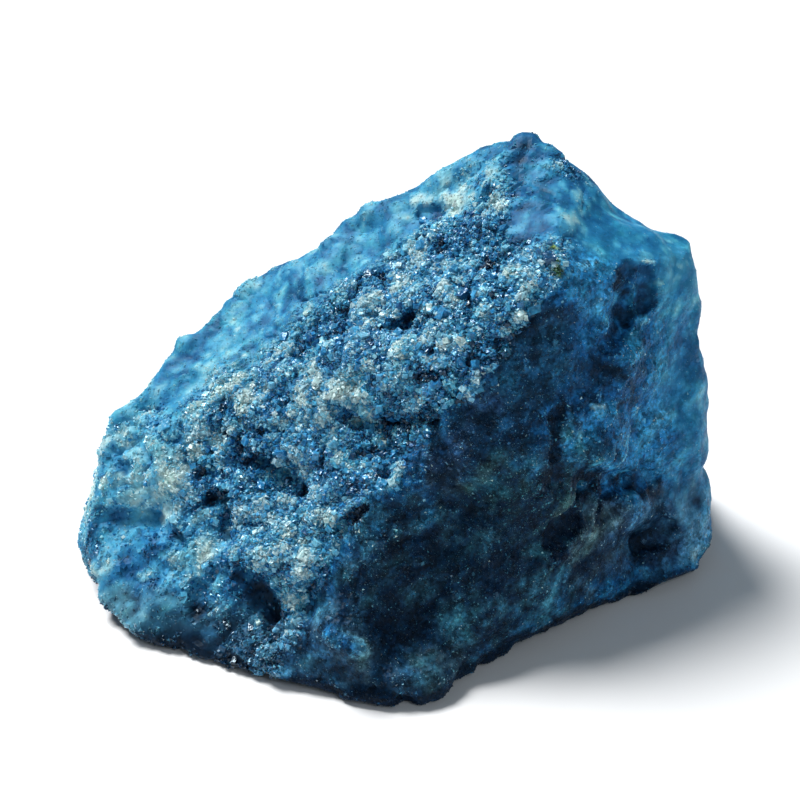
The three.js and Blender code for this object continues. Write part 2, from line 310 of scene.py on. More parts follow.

# Single features of the surface. Each follows the line between two places, is as wide as its width,
# stands out by its rise (sunk where negative), and is paler (or deeper) than the salt round it by
# its tone. The rows named shade are painted shade, as is the deeper tone of the gaps, creases,
# hollows and pockets, of the strip low on the front and of the stretch low on the right.
FEATURES = (
    ("deep blue low front", (-4, -27, 10), (14, -20, 22), 22, 0, -0.14),
    ("low on the lit side", (-20, -19, 14), (-9, -22, 17), 12, 0, -0.07),
    ("deep blue gap at the ridge", (-1.3, -16.1, 28.1), (-0.6, -17, 27), 5, -0.5, -0.28),
    ("pale cluster high on the left", (-23.4, -0.9, 30.1), (-22.5, -2, 29.5), 5, 0.3, 0.12),
    ("pale cluster on the slab", (-27.3, -9.1, 19.9), (-29, -8, 19), 5, 0.2, 0.12),
    ("pale cluster above the crease", (-10, -9.8, 31.5), (-11.5, -9, 31), 5, 0.3, 0.14),
    ("shade at the upper edge", (-31.8, 4.4, 27.8), (-28.6, 5.4, 29.8), 6, 0, -0.10),
    ("light at the upper left corner", (-35.5, 3.5, 24.7), (-33.8, 2.8, 25.7), 5, 0, 0.06),
    ("shade below the apex", (17.2, 0.8, 54.1), (14, 0.3, 52.3), 9, 0, -0.13),
    ("light patch beside the ridge", (21.8, -7, 51.2), (26, -6.3, 47.5), 9, 0, 0.04),
    ("shade over the lobe", (25.7, -10.4, 35.5), (24.5, -11.5, 36.5), 6, 0, -0.06),
    ("shade under the lobe", (26.6, -13.8, 23), (33.1, -6.8, 18.3), 6, -0.9, -0.16),
    ("shade low on the right end", (33.1, -6.8, 18.3), (41.4, -2, 11.1), 7, -0.4, -0.14),
    ("shade on the left foot", (-38.5, -13.5, 4.5), (-31, -18.5, 5.2), 10, 0, -0.16),
    ("left foot at the floor", (-45, -3, 1.5), (-40.5, -10.5, 1.5), 8, 0, 0.04),
    ("pale band on the dark face", (0.4, -21.4, 19.8), (7.3, -19.1, 21.3), 2.4, 0.3, 0.10),
    ("pale band low on the dark face", (8.2, -26.2, 7.4), (17.8, -21.2, 11.1), 6, 0.2, 0.05),
    ("deep blue under the crease", (-3.4, -13.8, 28.8), (0.6, -16, 28.6), 5, -0.3, -0.20),
    ("pale cluster in the middle", (-8.8, -10.4, 32), (-6.6, -9.4, 33.4), 5.4, 0.4, 0.26),
    ("pale cluster at the left", (-23, -4.0, 28.4), (-21.6, -3, 29.4), 5.4, 0.4, 0.28),
    ("shade low on the lit face", (-12.2, -18.8, 18), (-10.2, -19.8, 16.8), 4.6, -0.3, -0.16),
    # Painted shade along the foot, low on the front.
    ("dark strip low on the front", (-31, -19.4, 3), (-13, -26.8, 5), 6, 0, -0.16),
    ("shade low on the dark face", (16, -21.4, 12), (21, -19.6, 12.4), 8, 0, -0.16),
    ("shade under the lobe's gap", (27.6, -11.6, 16.3), (30.2, -10, 16.2), 4, -0.3, -0.14),
    ("shade at the ridge", (7.2, -14.6, 38), (9.6, -14, 40.4), 4, -0.2, -0.16),
    ("shade at the upper ridge", (14.6, -11, 45.4), (16.6, -10.8, 46.6), 4, -0.2, -0.16),
    ("pale cluster below the apex", (1.9, 5.6, 48), (4.4, 6.2, 49.2), 4.4, 0.3, 0.16),
    ("pale cluster by the shoulder", (9.2, 1.4, 51), (11.4, 2.6, 52), 4, 0.3, 0.14),
    ("pale cluster above the pit", (1.2, -3, 42.8), (2.8, -4.2, 43.6), 3, 0.3, 0.12),
    ("blue patch above the lobe", (28.2, -8.2, 39.0), (30.2, -7.2, 38.6), 6.4, 0, 0.20),
    ("shade at the right foot", (36, -7, 5.6), (39.6, -5, 5.6), 5, -0.2, -0.16),
    ("shade below the ledge", (-41.4, -7, 9.8), (-34.6, -11.4, 9.6), 10, 0, -0.22),
    ("shade at the left edge", (-44, -5, 8.6), (-42.4, -8.4, 6), 7, 0, -0.14),
    ("shade on the left foot's upper part", (-41.4, -9, 7), (-38.6, -10.6, 7.4), 5, 0, -0.14),
    ("deep blue by the long pit", (-18.8, -12.4, 21.2), (-17, -13, 20.6), 4.4, -0.2, -0.18),
    ("deep blue above the low lump", (-15, -24.2, 8), (-12.6, -25.4, 7), 4.6, -0.2, -0.14),
    ("deep blue high in mid face", (-12.4, -2.4, 35.6), (-10.6, -1.8, 36.6), 4.6, -0.2, -0.16),
    ("pale cluster left of the pit", (-4.6, -1.8, 41), (-2.6, -1.2, 42.2), 5, 0.2, 0.14),
    ("deep blue hollow", (-7, -2.5, 38.9), (-5, -3, 39.6), 5.0, -0.5, -0.12),
    ("hollow on the slab", (-27.6, -8.2, 21.4), (-26.8, -8.8, 20.6), 3.6, -0.7, -0.30),
    ("lumps over the undercut", (-15.2, -18.9, 16.9), (-12.2, -21.6, 15), 6.5, 0.5, 0.12),
    ("deep blue below the pale patch", (8.3, 2.5, 50.2), (5.4, 3.4, 48.8), 5.4, -0.3, -0.18),
    ("deep blue below the shoulder", (13.7, -2, 51.2), (16.6, -5.4, 51.2), 4.6, -0.3, -0.14),
    ("light by the apex", (18, 10.9, 58.5), (16.6, 10.4, 58), 5.0, -0.1, 0.05),
    ("shade between the apex and the shoulder", (18, 12, 59), (24, 5, 53), 12, 0, -0.12),
    ("pale left end", (-42, -3, 22), (-36, -9, 9), 32, 0, 0.175),
    ("pale upper band", (-24, 6, 34), (4, 18, 51), 15, 0, -0.01),
    ("shade on the far edge", (22.6, 11.1, 57.4), (26, 12, 55), 5.0, 0, -0.10),
    ("pale patch, right part", (12.8, 9.4, 56.7), (13.2, 5.8, 54.2), 4.4, 0.2, 0.25),
    ("pale patch, left part", (7.8, 11, 51.6), (3.9, 12.6, 50.7), 5.0, 0.2, 0.28),
    ("pale strip near the apex", (4, 12, 51), (13, 13, 57.5), 9, 0, 0.01),
    ("slanting rib", (24.9, -14.3, 23.1), (20.7, -16.8, 19), 3.4, 0.2, 0.10),
    ("blue patch on the dark face", (16.1, -18.3, 30.9), (12.5, -19.4, 26), 8.0, 0, 0.09),
    ("blue patch low on the dark face", (12, -19.1, 24.1), (15, -20, 17), 9.0, 0, 0.08),
    ("shade below the lobe", (21, -16.6, 24.5), (19.8, -17, 26), 4.4, -0.2, -0.10),
    ("pocket below the rib", (23.2, -16, 17.6), (20.9, -16.9, 16.8), 5.4, -0.7, -0.18),
    ("pocket under the lobe", (25.6, -13.4, 19.5), (26.6, -12.8, 19.7), 3.4, -0.8, -0.12),
    ("right edge", (41.5, 2.9, 36), (42.9, 2.2, 15), 14, 0, -0.05),
    # Painted shade low on the right, near the floor.
    ("low on the right", (24, -14, 9), (36, -7, 5), 18, 0, -0.21),
    ("just past the ridge", (-3, -23, 18), (17, -12.5, 44), 8, 0, -0.05),
    ("foot of the right corner", (38, -6.6, 2.4), (43.2, -2.7, 2.4), 4.4, 0, 0.10),
    ("light behind the ridge", (22.6, 4, 54.8), (25, 1.4, 53.4), 6, 0, 0.07),
    ("shoulder", (22, 1, 53), (37, 5, 49.5), 18, 0, -0.04),
)

# How they fade. For each list: how far from the middle the rise and then the tone start to fade, as
# shares of half the width, and how ragged the outline is. The fades end a little past the width.
SOFT_EDGES = (0.2, 0.45, 1)
CRISP_EDGES = (0.5, 0.85, 0.6)
RISE_END = 1.05
TONE_END = 1.1

# Features of the same form, with crisp edges. The deeper tone of the sunk ones, the pits, cracks,
# creases, crevices, gaps, grooves, hollows, pockets, the chip, the undercut and the ledge, is
# painted shade in these recesses, and the streaks and the dash on the lobe are painted glints.
CRISP_FEATURES = (
    ("tongue beside the undercut", (-12.5, -22, 13.6), (-14.6, -23.5, 7.5), 4, 0.6, 0.12),
    ("pit in the lower face", (-15, -11.6, 21.8), (-12.7, -13.4, 21.3), 3.4, -1.1, -0.40),
    ("crevice beside the ridge", (-7.6, -19.6, 19), (-4.4, -19.7, 22.5), 2.2, -0.8, -0.38),
    ("band beside the long pit", (-18.3, -9.9, 23.2), (-14.9, -11.8, 21.9), 2.4, -0.6, -0.28),
    ("pit high on the lit face", (0.2, -4.6, 41), (1.8, -4.5, 41.7), 2.2, -1.1, -0.40),
    ("small pit beside it", (-3.4, -2.3, 41.3), (-2.6, -2.6, 41.4), 1.4, -0.7, -0.30),
    ("crease, left part", (-8, -10.5, 31.9), (-5.5, -11.8, 30.5), 2.4, -0.8, -0.32),
    ("crease, middle part", (-5.5, -11.8, 30.5), (-0.5, -14.2, 31.3), 2.0, -0.8, -0.34),
    ("crease, right part", (-0.5, -14.2, 31.3), (4.2, -15.4, 33.6), 2.6, -0.7, -0.32),
    ("long pit", (-22, -8.8, 24), (-18.3, -9.9, 23.2), 3.6, -1.4, -0.40),
    ("upright crack", (-22.9, -11.3, 17.6), (-22.7, -13.4, 14), 2.0, -1.4, -0.44),
    ("head of the crack", (-24.8, -10.4, 17.9), (-22.9, -10.8, 18.3), 2.4, -1.2, -0.42),
    ("chip at the left edge", (-38, -3.5, 18.8), (-37.4, -3.8, 18.4), 2.4, -0.6, -0.26),
    ("end of the ledge", (-30.1, -13, 13.3), (-30.4, -11.5, 12.6), 2.4, -0.8, -0.26),
    ("undercut", (-20.6, -19.4, 11.7), (-16.4, -21.7, 7.4), 4.6, -1.4, -0.40),
    ("crease low on the left", (-26.7, -17.4, 8.3), (-26.6, -19.5, 5.8), 2.8, -0.9, -0.30),
    ("pit below the apex", (12.1, 7.6, 54.6), (11.4, 7.4, 54.2), 2.0, -1.1, -0.46),
    ("pit below the pale patch", (5.5, 11.1, 50.2), (3.4, 12, 49.6), 2.4, -0.8, -0.38),
    ("hollow in mid face", (3.5, -6.9, 43.5), (2.6, -8.4, 42), 2.2, -0.6, -0.26),
    ("flat pale crystal", (6.2, -4.4, 46.3), (7.2, -6.9, 45.4), 2.0, 0.3, 0.36),
    # Painted glints on the lobe.
    ("streak on the lobe", (23.5, -13.8, 30), (23, -14.3, 29), 0.9, 0.2, 0.26),
    ("short streak on the lobe", (25.6, -11.4, 32.7), (27, -10.8, 31.9), 0.9, 0.1, 0.36),
    ("knob at the near corner", (1.8, -31.6, 3.4), (6.6, -29, 2.2), 6, 0.5, 0.04),
    ("shade under the ledge", (-40.4, -6.1, 12.2), (-33.9, -7.7, 12.8), 3.4, -0.6, -0.12),
    ("right part of the ledge", (-33.9, -7.7, 12.8), (-29.4, -13.4, 12.6), 3.2, -0.6, -0.14),
    ("lump low on the front", (-8.2, -29, 9), (-5.3, -30, 7.8), 2.9, 0.7, 0.22),
    ("groove above the lobe", (30.2, -3.6, 47.4), (30.2, -3.9, 42.6), 3.8, -0.8, -0.38),
    ("right side of the groove", (32.4, -1.8, 47.2), (32.4, -2.2, 42.8), 3.4, -0.8, -0.29),
    ("tail of the groove", (30.3, -4.6, 41.6), (26.9, -8, 39.8), 2.8, -0.5, -0.16),
    ("pale streak below the groove", (30.5, -5.2, 38), (31.8, -4.6, 34.8), 1.0, 0.1, 0.28),
    ("pocket low on the right", (34.1, -6, 7.1), (37.7, -4.6, 8.6), 4.4, -1.0, -0.20),
    ("plate of the lobe", (25.0, -13.3, 30.0), (29.0, -10, 26.8), 9.4, 0.8, 0.18),
    ("gap under the lobe", (24.4, -14.8, 23.4), (31.8, -8.0, 18.4), 4.0, -0.8, -0.24),
    ("gap beside the lobe", (19.8, -16.3, 28.2), (20.4, -14.7, 33.4), 2.4, -0.6, -0.18),
    ("white speck on the shoulder", (32.6, -1.2, 48.6), (33.4, -1.0, 48.4), 0.9, 0.1, 0.34),
    ("white speck by the groove", (34.2, -1.4, 45.6), (34.8, -1.3, 45.4), 0.8, 0.1, 0.30),
    ("white speck under the groove", (32.8, -2.6, 40.6), (33.4, -2.4, 40.4), 1.0, 0.1, 0.26),
    # A painted glint on the lobe.
    ("dash on the lobe", (25.6, -12.9, 28.4), (26.3, -12.5, 28.3), 0.8, 0.1, 0.30),
    ("pale face by the near corner", (-11, -23.6, 11.6), (-9, -25.5, 10), 4.0, 0.2, 0.10),
)


def smooth_step(x, low, high):
    """From 0 at low to 1 at high, without a kink at either."""
    t = np.clip((x - low) / (high - low), 0, 1)
    return t * t * (3 - 2 * t)


def soft_noise(places, name):
    """The smooth noise of this name, mostly within -0.7 to 0.7."""
    size = 32  # of the lattice of random values that it repeats
    apart, draw = NOISES[name]
    lattice = np.random.default_rng(SEED + draw).uniform(-1, 1, (size, size, size))
    at = places / apart
    low = np.floor(at).astype(int)
    part = smooth_step(at - low, 0, 1)
    total = np.zeros(len(places))
    for corner in np.ndindex(2, 2, 2):
        weight = np.prod(np.where(corner, part, 1 - part), axis=1)
        total += weight * lattice[tuple(((low + corner) % size).T)]
    return total


def gap_to_line(places, start, end):
    """How far each place is from the line between two places."""
    start, end = np.array(start, float), np.array(end, float)
    along = end - start
    share = np.clip((places - start) @ along / (along @ along), 0, 1)
    return np.linalg.norm(places - start - share[:, None] * along, axis=1)


def near_line(places, start, end, width, full, none, spread=0):
    """1 near a line and 0 away from it, with the limits full and none in shares of half its width.

    The spread is added to each place's gap, in the same shares, and makes the outline ragged.
    """
    gap = gap_to_line(places, start, end) / (width / 2) + spread
    return 1 - smooth_step(gap, full, none)


def feature_sums(places):
    """What all the features together add to the rise, in mm, and to the tone, at each place."""
    wobble = 0.60 * soft_noise(places, "fine rag") + 0.35 * soft_noise(places, "coarse rag")
    rise, tone = np.zeros(len(places)), np.zeros(len(places))
    for features, top, edge, ragged in ((FEATURES, *SOFT_EDGES), (CRISP_FEATURES, *CRISP_EDGES)):
        for _, start, end, width, height, shade in features:
            gap = gap_to_line(places, start, end) * (1 + ragged * wobble) / (width / 2)
            rise += height * (1 - smooth_step(gap, top, RISE_END))
            tone += shade * (1 - smooth_step(gap, edge, TONE_END))
    for _, start, end, width, height in EDGES:
        rise += height * near_line(places, start, end, width, 0.2, 1.0)
    return rise, tone


def sugar_and_calm(places):
    """Two shares: 1 where the salt is sugary and 0 past the ridge; 1 where its grains are fused."""
    drift = soft_noise(places, "drift")
    shifts = np.interp(places[:, 2], RIDGE_HEIGHTS, RIDGE_SHIFTS)
    side = places @ RIDGE_NORMAL - RIDGE_OFFSET - shifts
    sugar = 1 - smooth_step(side + RIDGE_WANDER * drift, *RIDGE_BLUR)
    calm = np.zeros(len(places))
    for _, start, end, width, share in CALM:
        near = near_line(places, start, end, width, 0.5, 1.2, 0.3 * drift)
        calm = np.maximum(calm, share * near)
    return sugar, calm


def crevice_share(places, standing):
    """1 along the narrow crevices between the lumps of the sugary side, and 0 away from them."""
    line = 1 - smooth_step(np.abs(soft_noise(places, "broad clusters")), 0.03, 0.12)
    stretch = smooth_step(soft_noise(places, "crevice stretches"), -0.05, 0.2)
    return line * stretch * standing


def clusters(places):
    """How far the broad and the small rounded clusters stand out, from -0.5 to about 0.4."""
    broad = np.sqrt(np.abs(soft_noise(places, "broad clusters"))) - 0.5
    small = np.sqrt(np.abs(soft_noise(places, "small clusters"))) - 0.5
    return broad, small


def drawn_out(places, sugar):
    """Places squeezed along the streaks, so that patches read from them are drawn out there."""
    left = smooth_step(-places[:, 0], 8, 26)[:, None]
    drawn = places - 0.6 * left * (places @ STREAK)[:, None] * STREAK
    drawn -= 0.3 * (1 - sugar)[:, None] * (places @ DARK_STREAK)[:, None] * DARK_STREAK
    return drawn


def patch_tones(places, sugar, calm):
    """What patches, fine mottles, cream grains and milky dots add to the tone."""
    drawn = drawn_out(places, sugar)
    patches = (0.14 + 0.10 * sugar) * soft_noise(drawn, "broad patches")
    patches += (0.10 + 0.10 * sugar) * soft_noise(drawn, "small patches")
    fine = (0.12 + 0.04 * sugar) * soft_noise(drawn, "fine tone")
    cream = sugar * smooth_step(soft_noise(drawn, "cream"), 0.28, 0.55)
    milky = calm * smooth_step(soft_noise(places, "milky dots"), 0.30, 0.58)
    mottles = patches * (1 - 0.6 * calm) + fine * (1 - 0.3 * calm)
    return mottles + CREAM_TONE * cream * (1 - 0.8 * calm) + MILKY_TONE * milky


def cluster_tones_and_shading(places, sugar, calm):
    """The clusters' own colour, with painted light on their tops and painted shade in the crevices.
    """
    standing = sugar * (1 - calm)
    broad, small = clusters(places)
    # Raised clusters paler and crevices deeper: painted light and painted shade on the salt's own
    # patches.
    tones = standing * (0.18 * broad + CREVICE_PAINTED_SHADE * crevice_share(places, 1))
    return tones + (0.14 + 0.28 * standing + 0.06 * sugar * calm) * small


def base_tone(places, normals, sugar, calm):
    """The tone of the salt at each place, from the deepest blue to the palest, with painted shade
    and glints.
    """
    tone = USUAL_TONE + CALM_TONE * calm + patch_tones(places, sugar, calm)
    # The clusters' tones, with painted light on their tops and painted shade in the crevices.
    tone += cluster_tones_and_shading(places, sugar, calm)
    # The dark face: partly the salt's own deeper blue, partly painted shade away from the light.
    tone += DARK_FACE_TONE_AND_SHADE * (1 - sugar) * near_line(places, *DARK_FACE, 0.45, 1.15)
    # Painted shade: deeper low on the front, towards the floor.
    low_front_shade = 1 - smooth_step(places[:, 2] - 0.25 * places[:, 0], 6.5, 14)
    tone += LOW_FRONT_PAINTED_SHADE * low_front_shade * smooth_step(places[:, 0], -46, -36) * sugar
    # The features' tones, among them painted shade in recesses and low down, and painted glints.
    tone += feature_sums(places)[1]
    tone += CALM_LIFT * calm * np.maximum(CALM_FLOOR - tone, 0)
    # Painted shade along the foot, at the floor, and on the low faces turned down.
    foot = 1 - smooth_step(places[:, 2] + 0.9 * soft_noise(places, "foot edge"), 1.5, 3.0)
    under = smooth_step(-normals[:, 2], 0.12, 0.42) * (1 - smooth_step(places[:, 2], 4, 12))
    return tone + FOOT_PAINTED_SHADE * np.maximum(foot, under)


def colours_at(tones, places, sugar, calm):
    """Linear colours for tones from 0 to 1: greener in places, and with each place's stains."""
    steps = [step for step, _ in TONES]
    channels = zip(*(colour for _, colour in TONES))
    colours = np.stack([np.interp(tones, steps, channel) for channel in channels], axis=1)
    hue = BROAD_HUE * soft_noise(places, "broad hue") + FINE_HUE * soft_noise(places, "fine hue")
    hue = np.maximum(hue, LEAST_HUE) * (1 - 0.6 * smooth_step(tones, 0.5, 0.8))
    colours *= 1 + hue[:, None] * GREENER
    colours[:, 2] *= 1 - CALM_BLUE_LOSS * calm
    edge = 0.35 * soft_noise(places, "stain edges")
    # The deepest and the palest salt take up the least stain.
    stained = smooth_step(tones, 0.02, 0.24) * (1 - 0.8 * smooth_step(tones, 0.42, 0.65))
    for _, start, end, width, tint, past_ridge, sugary in STAINS:
        strength = past_ridge + (sugary - past_ridge) * sugar
        share = strength * near_line(places, start, end, width, 0.5, 1.1, edge) * stained
        colours *= 1 + share[:, None] * (np.array(tint) - 1)
    # Only pale salt is nearly white: the deeper it is, the less red it may have against its green.
    colours[:, 0] = np.minimum(colours[:, 0], colours[:, 1] * (0.36 + 0.5 * colours[:, 1]))
    for _, place, width, colour in SPOTS:
        gap = np.linalg.norm(places - place, axis=1) / (width / 2) + edge
        share = 1 - smooth_step(gap, 0.6, 1.1)
        colours += share[:, None] * (np.array(colour) - colours)
    return colours


def hackly_steps(places, apart, draw):
    """Small tilted plates with steps between them, as salt breaks. From -0.6 to 0.6."""
    rng = np.random.default_rng(SEED + draw)
    low, high = places.min(0) - apart, places.max(0) + apart
    count = int(np.prod((high - low) / apart))
    seeds = rng.uniform(low, high, (count, 3))
    tilts = rng.normal(0, 1, (count, 3)) / apart
    offsets = rng.uniform(-0.5, 0.5, count)
    tree = KDTree(count)
    for i, seed_place in enumerate(seeds):
        tree.insert(seed_place, i)
    tree.balance()
    cell = np.fromiter((tree.find(place)[1] for place in places), int, len(places))
    lean = np.einsum("ij,ij->i", places - seeds[cell], tilts[cell])
    return np.clip(0.35 * lean, -0.4, 0.4) + 0.4 * offsets[cell]


def vector_array(items, name):
    """One vector of each item, such as its normal, as rows of an array."""
    found = np.empty(len(items) * 3, np.float32)
    items.foreach_get(name, found)
    return found.reshape(-1, 3).astype(float)


def kept_in_box(places):
    """Places in mm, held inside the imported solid's box."""
    return np.clip(places, np.array(cad_low) / MM, np.array(cad_high) / MM)


def add_bake_map(mesh, corners):
    """Stores for each corner of each triangle its place on the flat map named OFBake."""
    layer = mesh.uv_layers.new(name="OFBake")
    layer.uv.foreach_set("vector", corners.astype(np.float32).ravel())


def relief(form, standing, calm):
    """How high one of the forms all over the lump is at each place, in mm."""
    height, extra, calm_loss = form
    return (height + extra * standing) * (1 - calm_loss * calm)


def unfolded(mesh, places):
    """The lump laid out flat: its six sides, each seen straight on, in two columns of three."""
    corner_of = np.empty(len(mesh.loops), np.int32)
    mesh.loops.foreach_get("vertex_index", corner_of)
    normals = vector_array(mesh.polygons, "normal")
    axis = np.abs(normals).argmax(1)
    side = 2 * axis + (normals[np.arange(len(normals)), axis] > 0)
    across, up = np.array([1, 0, 0])[axis], np.array([2, 2, 1])[axis]
    triangles = (places - places.min(0))[corner_of.reshape(-1, 3)]
    index = np.arange(len(normals))
    flat = np.stack([triangles[index, :, across], triangles[index, :, up]], axis=2)
    scale = SIDE_ON_MAP / max((places.max(0) - places.min(0))[1:])
    return flat * scale + np.stack([side % 2 / 2, side // 2 / 3], axis=1)[:, None] + MAP_MARGIN


def add_tint(mesh, colours, mottling):
    """Stores for each vertex, for the materials to read, a colour and how mottled it is."""
    tint = mesh.color_attributes.new("tint", "FLOAT_COLOR", "POINT")
    tint.data.foreach_set("color", np.c_[colours, mottling].astype(np.float32).ravel())


def new_piece(name, mesh):
    """An object for a finished mesh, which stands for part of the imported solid."""
    piece = bpy.data.objects.new(name, mesh)
    bpy.context.scene.collection.objects.link(piece)
    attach(piece, "root")
    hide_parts("rock")
    return piece


def make_lump():
    """The lump itself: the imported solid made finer, then broken up by steps, cracks and pits."""
    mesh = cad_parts["rock"].data.copy()
    mesh.name = "salt_lump"
    mesh.materials.clear()
    shape = bmesh.new()
    shape.from_mesh(mesh)
    bmesh.ops.remove_doubles(shape, verts=shape.verts, dist=MERGE_GAP * MM)
    for _ in range(SUBDIVISIONS):
        bmesh.ops.subdivide_edges(shape, edges=shape.edges, cuts=1, use_grid_fill=True)
    for _ in range(SMOOTHING_ROUNDS):
        bmesh.ops.smooth_vert(
            shape, verts=shape.verts, factor=0.5, use_axis_x=True, use_axis_y=True, use_axis_z=True
        )
    bmesh.ops.triangulate(shape, faces=shape.faces)
    shape.to_mesh(mesh)
    shape.free()
    places = vector_array(mesh.vertices, "co") / MM
    normals = vector_array(mesh.vertices, "normal")
    sugar, calm = sugar_and_calm(places)
    standing = sugar * (1 - calm)
    broad, small = clusters(places)
    rise = feature_sums(places)[0] - CREVICE_DEPTH * crevice_share(places, standing)
    rise += relief(BROAD_CLUSTERS, standing, calm) * broad
    rise += relief(SMALL_CLUSTERS, standing, calm) * small
    large_steps = hackly_steps(places, LARGE_STEPS_APART, LARGE_STEPS_DRAW)
    small_steps = hackly_steps(places, SMALL_STEPS_APART, SMALL_STEPS_DRAW)
    rise += relief(LARGE_STEPS, standing, calm) * large_steps
    rise += relief(SMALL_STEPS, standing, calm) * small_steps
    box_low, box_high = np.array(cad_low) / MM, np.array(cad_high) / MM
    room = np.minimum(places - box_low, box_high - places).min(1)
    rise = np.minimum(rise - INSET, ROOM_SHARE * room)
    places = kept_in_box(places + normals * rise[:, None])
    mesh.vertices.foreach_set("co", (places * MM).astype(np.float32).ravel())
    mesh.update()
    normals = vector_array(mesh.vertices, "normal")
    # The salt between the standing grains gets a little painted shade.
    tones = base_tone(places, normals, sugar, calm) + BETWEEN_GRAINS_PAINTED_SHADE * standing
    add_tint(mesh, colours_at(tones, places, sugar, calm), 1 - calm)
    add_bake_map(mesh, unfolded(mesh, places))
    corners = np.empty(len(mesh.loops), np.int32)
    mesh.loops.foreach_get("vertex_index", corners)
    worn = sugar[corners].reshape(-1, 3).mean(1) < 0.5
    mesh.polygons.foreach_set("material_index", worn.astype(np.int32))
    return new_piece("salt_lump", mesh), places, normals


def template(shape):
    """The corners and triangles of a finished bmesh."""
    bmesh.ops.triangulate(shape, faces=shape.faces)
    corners = np.array([v.co[:] for v in shape.verts])
    faces = np.array([[v.index for v in f.verts] for f in shape.faces])
    shape.free()
    return corners, faces


def cube_corner():
    """The corner of a cube, cut off flat, with its point up. The cube's edges are 1 long."""
    shape = bmesh.new()
    base, height = math.sqrt(2 / 3), math.sqrt(1 / 3)
    bmesh.ops.create_cone(
        shape, cap_ends=True, segments=3, radius1=base, radius2=0, depth=height
    )
    bmesh.ops.remove_doubles(shape, verts=shape.verts, dist=0.001)
    shape.verts.index_update()
    return template(shape)


def whole_cube():
    """A cube whose edges are 1 long."""
    shape = bmesh.new()
    bmesh.ops.create_cube(shape, size=1)
    return template(shape)


def turned_frames(normals, tilts, rng):
    """For each grain three unit axes: the third is its surface normal leant over by its tilt."""
    count = len(normals)
    lean = rng.normal(0, 1, (count, 3)) * tilts[:, None]
    up = normals + lean
    up /= np.linalg.norm(up, axis=1)[:, None]
    side = np.cross(up, rng.normal(0, 1, (count, 3)))
    side /= np.linalg.norm(side, axis=1)[:, None]
    return np.stack([side, np.cross(up, side), up], axis=1)


def cell_corners(triangles):
    """Corners of separate triangles that share out a unit square, two to each upright strip."""
    strips = (triangles + 1) // 2
    halves = np.array([[[0.1, 0.1], [0.8, 0.1], [0.1, 0.8]], [[0.9, 0.9], [0.2, 0.9], [0.9, 0.2]]])
    spread = np.array([[i // 2, 0] for i in range(triangles)])
    return (halves[np.arange(triangles) % 2] + spread[:, None]) / np.array([strips, 1])


def grain_mesh(name, solids, faces, colours, mottling):
    """One mesh of many loose grains. Each has a square of its own in the flat map of colours."""
    count, corners = solids.shape[:2]
    mesh = bpy.data.meshes.new(name)
    vertices = kept_in_box(solids.reshape(-1, 3)) * MM
    triangles = (faces[None] + corners * np.arange(count)[:, None, None]).reshape(-1, 3)
    mesh.vertices.add(len(vertices))
    mesh.vertices.foreach_set("co", vertices.astype(np.float32).ravel())
    mesh.loops.add(triangles.size)
    mesh.loops.foreach_set("vertex_index", triangles.astype(np.int32).ravel())
    mesh.polygons.add(len(triangles))
    mesh.polygons.foreach_set("loop_start", np.arange(0, triangles.size, 3, dtype=np.int32))
    mesh.update(calc_edges=True)
    mesh.shade_flat()
    add_tint(mesh, np.repeat(colours, corners, axis=0), np.repeat(mottling, corners))
    side = math.ceil(math.sqrt(count))
    squares = np.stack([np.arange(count) % side, np.arange(count) // side], axis=1)
    add_bake_map(mesh, (cell_corners(len(faces)).reshape(1, -1, 2) + squares[:, None]) / side)
    return mesh


def grain_demand(kind, places, normals, sugar, calm):
    """How many grains each place of the lump wants, against the others."""
    facing = smooth_step(normals @ LIT_SIDE, -0.3, 0.4)
    under = smooth_step(-normals[:, 2], 0.6, 0.95)
    pitless = 0.2 + 0.8 * smooth_step(base_tone(places, normals, sugar, calm), 0.05, 0.32)
    sugary = sugar * (1.5 + 2.4 * facing) * (1 - kind["calm_loss"] * calm) * pitless
    worn = kind["past_ridge"] * (1 - sugar) * (0.8 + 0.8 * facing) * (1 - 0.75 * calm)
    return np.maximum(sugary + worn, 0) * (1 - 0.6 * under)


def grain_tones(kind, places, normals, sugar, calm, rng):
    """The tone of each grain. Some of those past the ridge are much paler than the salt there:
    painted glints.
    """
    count = len(places)
    varied = 0.4 + 0.6 * np.maximum(sugar * (1 - calm), 1 - sugar - calm)
    tones = base_tone(places, normals, sugar, calm)
    tones += rng.normal(0, kind["tone_spread"], count) * varied
    # Painted glints: a few worn grains much paler than the salt round them.
    glint = np.minimum(0.05 * np.abs(rng.normal(0, 1, count)) ** 3, 0.5)
    return tones + (1 - sugar) * (1 - 0.6 * calm) * glint


